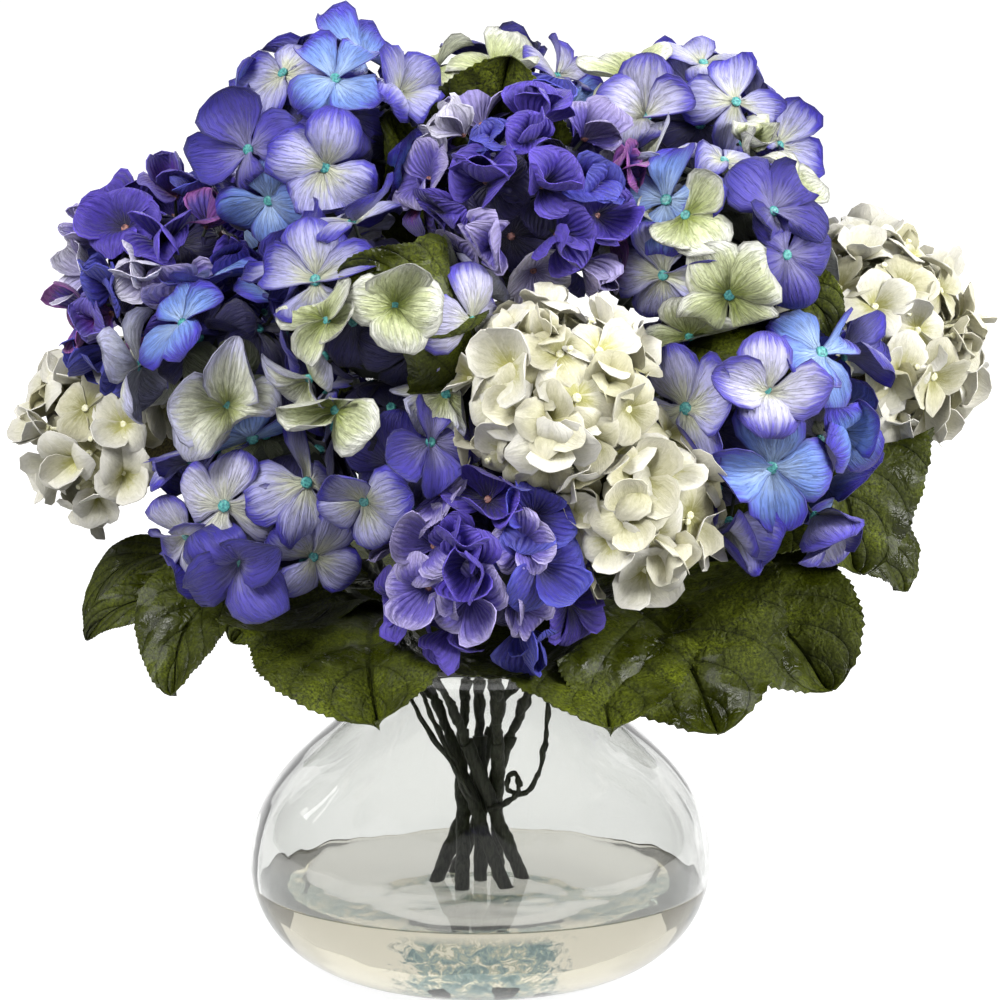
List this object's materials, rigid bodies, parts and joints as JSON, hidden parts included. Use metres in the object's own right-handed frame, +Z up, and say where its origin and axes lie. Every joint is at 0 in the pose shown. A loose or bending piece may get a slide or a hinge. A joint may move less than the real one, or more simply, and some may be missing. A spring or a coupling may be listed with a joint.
{
  "type": "hydrangeas in a vase",
  "caption": "Domed bouquet of fabric hydrangea heads and serrated leaves on forked stems, standing in clear set resin in a squat round glass vase with a narrow neck.",
  "frame": {"origin": "centre of the vase's flat underside", "axes": "+Z up along the vase's axis; -Y towards the bouquet's front, which the picture shows; +X to the viewer's right"},
  "size_m": [0.4522, 0.3943, 0.4529],
  "materials": {
    "clear_glass": "clear and glossy",
    "clear_resin": "clear and glossy, slightly yellow",
    "stem_plastic": "rough, dark green",
    "blue_petal": "matt cloth, violet-blue with cream hearts",
    "purple_petal": "matt cloth, deep purple",
    "white_petal": "matt cloth, cream white",
    "leaf_cloth": "glazed cloth, dark green"
  },
  "bodies": {
    "root": {"vase": "clear_glass", "resin_water": "clear_resin", "stem_1": "stem_plastic", "stem_2": "stem_plastic", "stem_3": "stem_plastic", "stem_4": "stem_plastic", "stem_5": "stem_plastic", "stem_6": "stem_plastic", "stem_7": "stem_plastic", "blue_bloom_top_left": "blue_petal", "blue_bloom_crown": "blue_petal", "purple_bloom_top": "purple_petal", "purple_bloom_front_low": "purple_petal", "white_bloom_front": "white_petal", "blue_bloom_front": "blue_petal", "blue_bloom_heart": "blue_petal", "white_bloom_front_right": "white_petal", "blue_bloom_right": "blue_petal", "blue_bloom_right_high": "blue_petal", "white_bloom_right": "white_petal", "blue_bloom_top_right": "blue_petal", "purple_bloom_back_right": "purple_petal", "white_bloom_back": "white_petal", "blue_bloom_back_high": "blue_petal", "purple_bloom_back_high": "purple_petal", "blue_bloom_back_left": "blue_petal", "blue_bloom_left_high": "blue_petal", "white_bloom_left": "white_petal", "blue_bloom_left_low": "blue_petal", "blue_bloom_left": "blue_petal", "purple_bloom_left": "purple_petal", "leaf_front_left": "leaf_cloth", "leaf_front_right": "leaf_cloth", "leaf_right_front": "leaf_cloth", "leaf_right_low": "leaf_cloth", "leaf_right_high": "leaf_cloth", "leaf_right": "leaf_cloth", "leaf_right_back": "leaf_cloth", "leaf_back_right": "leaf_cloth", "leaf_back_left": "leaf_cloth", "leaf_left_back": "leaf_cloth", "leaf_left": "leaf_cloth", "leaf_left_low": "leaf_cloth", "leaf_left_front": "leaf_cloth", "leaf_top": "leaf_cloth"}
  },
  "joints": []
}
